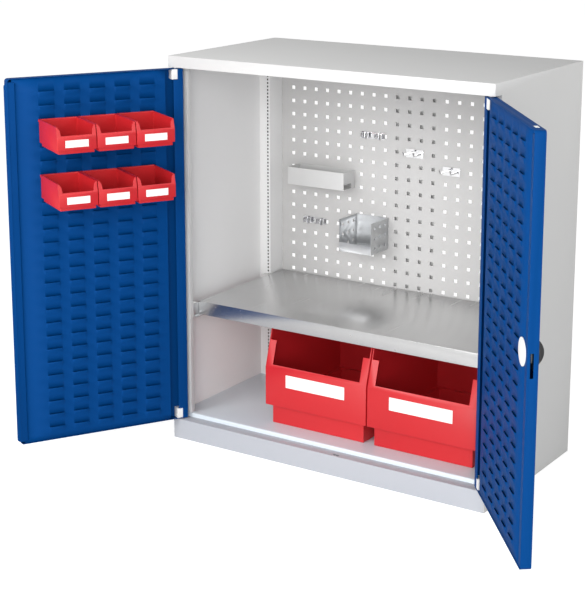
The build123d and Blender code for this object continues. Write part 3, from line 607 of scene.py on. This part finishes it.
def makeLouvredPanel(side):
    # inwards level = sheet + rise x (profile across) x (profile down), cut open at each mouth:
    # across it climbs in an S over the rounded ends, down it falls from the lip to nothing
    across = np.array(louvres["endSteps"])
    climb = across * across * (3 - 2 * across)
    xs, rises = [louvres["start"], louvres["start"]], [0.0, 0.0]
    half = louvres["width"] / 2
    for column in range(louvres["columns"]):
        offset = (column - (louvres["columns"] - 1) / 2) * louvres["pitchAcross"]
        middle = leaf["width"] / 2 + offset
        xs += list(middle - half + across * louvres["sideRun"])
        xs += list(middle + half - across[::-1] * louvres["sideRun"])
        rises += list(climb) + list(climb[::-1])
    xs.append(louvres["end"])
    rises.append(0.0)
    down = np.array(louvres["downSteps"])
    fall = np.array(louvres["downShares"])
    zs, falls, cuts = [leaf["height"] - louvres["margin"]], [0.0], []
    for row in range(louvres["rows"]):
        mouth = leaf["height"] - louvres["topDrop"] - row * louvres["pitchDown"]
        zs.append(mouth)
        falls.append(0.0)
        cuts.append(len(zs) - 1)
        zs += list(mouth - down * louvres["height"])
        falls += list(fall)
    zs.append(louvres["margin"])
    falls.append(0.0)

    xs, rises, zs, falls = map(np.array, (xs, rises, zs, falls))
    gridX, gridZ = np.meshgrid(xs, zs)
    level = louvres["sheetLevel"] + louvres["rise"] * np.outer(falls, rises)
    level[:, 0] = louvres["turnedEdge"]
    points = np.stack([gridX, level, gridZ], axis=-1).reshape(-1, 3)
    index = np.arange(points.shape[0]).reshape(gridX.shape)
    corners = [index[:-1, :-1], index[1:, :-1], index[1:, 1:], index[:-1, 1:]]
    quads = np.stack(corners, axis=-1)
    quads = np.delete(quads, cuts, axis=0).reshape(-1, 4)
    if side == "left":
        quads = quads[:, ::-1]
    name = side + "LouvredPanel"
    panel = addPiece(name, surfaceMesh(name, hungOnDoor(points, side), quads),
                     "doorBlue", side + "_door")
    panel.data.shade_smooth()
    panel.data.set_sharp_from_angle(angle=math.radians(louvres["sharp"]))
    wall = panel.modifiers.new("gauge", "SOLIDIFY")
    wall.thickness = louvres["gauge"]
    wall.offset = -1.0
    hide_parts(side + "_louvred_panel")


for side in ("left", "right"):
    makeLouvredPanel(side)
print("louvred panels made")


# front flanges of the small bins

smallBins = {
    "width": 0.102,
    "depth": 0.142,
    "height": 0.068,
    "lipHeight": 0.0401,
    "slopeRun": 0.0082,
    "gap": 0.0025,
    "first": 0.077,        # from the leaf's free edge to the first bin
    "level": 0.0299,       # back of the bin, from the leaf's outer face
    "seat": 0.0017,        # bin's top above the louvre's mouth
    "rows": (2, 6),
    "columns": 3,
    "flange": 0.011,
    "gauge": 0.0018,
    "proud": 0.0002,
    "steps": (-0.04, 0.3, 0.7, 0.97),     # shares of the way from the lip to the top
    "taper": (1.0, 0.95, 0.8, 0.35),
    "edge": 0.0004,
}


def makeSmallBinFlanges(number):
    # along the sloping front edge, point = lip + share x (top - lip),
    # and each flange narrows towards the top
    row = smallBins["rows"][number // smallBins["columns"]]
    column = number % smallBins["columns"]
    middle = (leaf["width"] - smallBins["first"] - smallBins["width"] / 2
              - column * (smallBins["width"] + smallBins["gap"]))
    base = (leaf["height"] - louvres["topDrop"] - row * louvres["pitchDown"]
            + smallBins["seat"] - smallBins["height"])
    share = np.array(smallBins["steps"])
    reach = smallBins["flange"] * np.array(smallBins["taper"])
    out = smallBins["depth"] + smallBins["proud"] - np.maximum(share, 0) * smallBins["slopeRun"]
    up = smallBins["lipHeight"] + share * (smallBins["height"] - smallBins["lipHeight"])
    points, faces = [], []
    for sign in (-1, 1):
        edge = sign * smallBins["width"] / 2
        for depth in (0.0, smallBins["gauge"]):
            level = smallBins["level"] + out - depth
            for xs in (np.full(share.size, edge), edge - sign * reach):
                points.append(np.stack([middle + xs, level, base + up], axis=1))
        outer = np.array([[k, k + 1, k + 5, k + 4] for k in range(3)])
        ring = [[0, 4, 12, 8], [3, 11, 15, 7]]
        ring += [[k, k + 8, k + 9, k + 1] for k in range(3)]
        ring += [[k + 4, k + 5, k + 13, k + 12] for k in range(3)]
        shell = np.concatenate([outer, outer[:, ::-1] + 8, np.array(ring)])
        faces.append((shell if sign > 0 else shell[:, ::-1]) + 16 * len(faces))
    name = f"smallBinFlanges{number + 1}"
    corners = hungOnDoor(np.concatenate(points), "left")
    mesh = surfaceMesh(name, corners, np.concatenate(faces))
    shape = bmesh.new()
    shape.from_mesh(mesh)
    bmesh.ops.recalc_face_normals(shape, faces=shape.faces)
    shape.to_mesh(mesh)
    shape.free()
    piece = addPiece(name, mesh, "binRed", f"small_bin_{number + 1}")
    bevel = piece.modifiers.new("edges", "BEVEL")
    bevel.width = smallBins["edge"]
    bevel.segments = 2
    bevel.limit_method = "ANGLE"


for number in range(len(smallBins["rows"]) * smallBins["columns"]):
    makeSmallBinFlanges(number)
print("small bin flanges made")


# slots in the rear posts, drawn as dark plates of painted shade

postSlots = {
    "width": 0.0042,
    "height": 0.0055,
    "pitch": 0.010,
    "fromEdge": 0.007,
    "lowest": 0.085,
    "highest": 1.035,
    "depth": 0.0003,
}


def makePostSlots(side):
    # level of a slot = lowest + its number x pitch; each is a thin dark plate on the front face, painted shade
    # standing in for the hole
    low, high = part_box(side + "_rear_post")
    fromEdge = postSlots["fromEdge"]
    inner = high.x - fromEdge if side == "left" else low.x + fromEdge
    levels = np.arange(postSlots["lowest"], postSlots["highest"], postSlots["pitch"])
    halves = (-0.5, 0.5)
    corner = np.array([(x, y, z) for x in halves for y in (-1.0, 0.5) for z in halves])
    size = np.array([postSlots["width"], postSlots["depth"], postSlots["height"]])
    middles = np.stack([np.full(levels.size, inner), np.full(levels.size, low.y), levels], axis=1)
    points = (middles[:, None, :] + corner[None] * size).reshape(-1, 3)
    box = np.array([(0, 1, 3, 2), (4, 6, 7, 5), (0, 4, 5, 1),
                    (2, 3, 7, 6), (0, 2, 6, 4), (1, 5, 7, 3)])
    faces = (np.arange(levels.size)[:, None, None] * 8 + box[None]).reshape(-1, 4)
    name = side + "PostSlots"
    mesh = surfaceMesh(name, points, faces, weld=False)
    addPiece(name, mesh, "slotShade", "cabinet")


for side in ("left", "right"):
    makePostSlots(side)
print("post slots made")


makeCamera()
makeStudio()
print("camera and studio made")
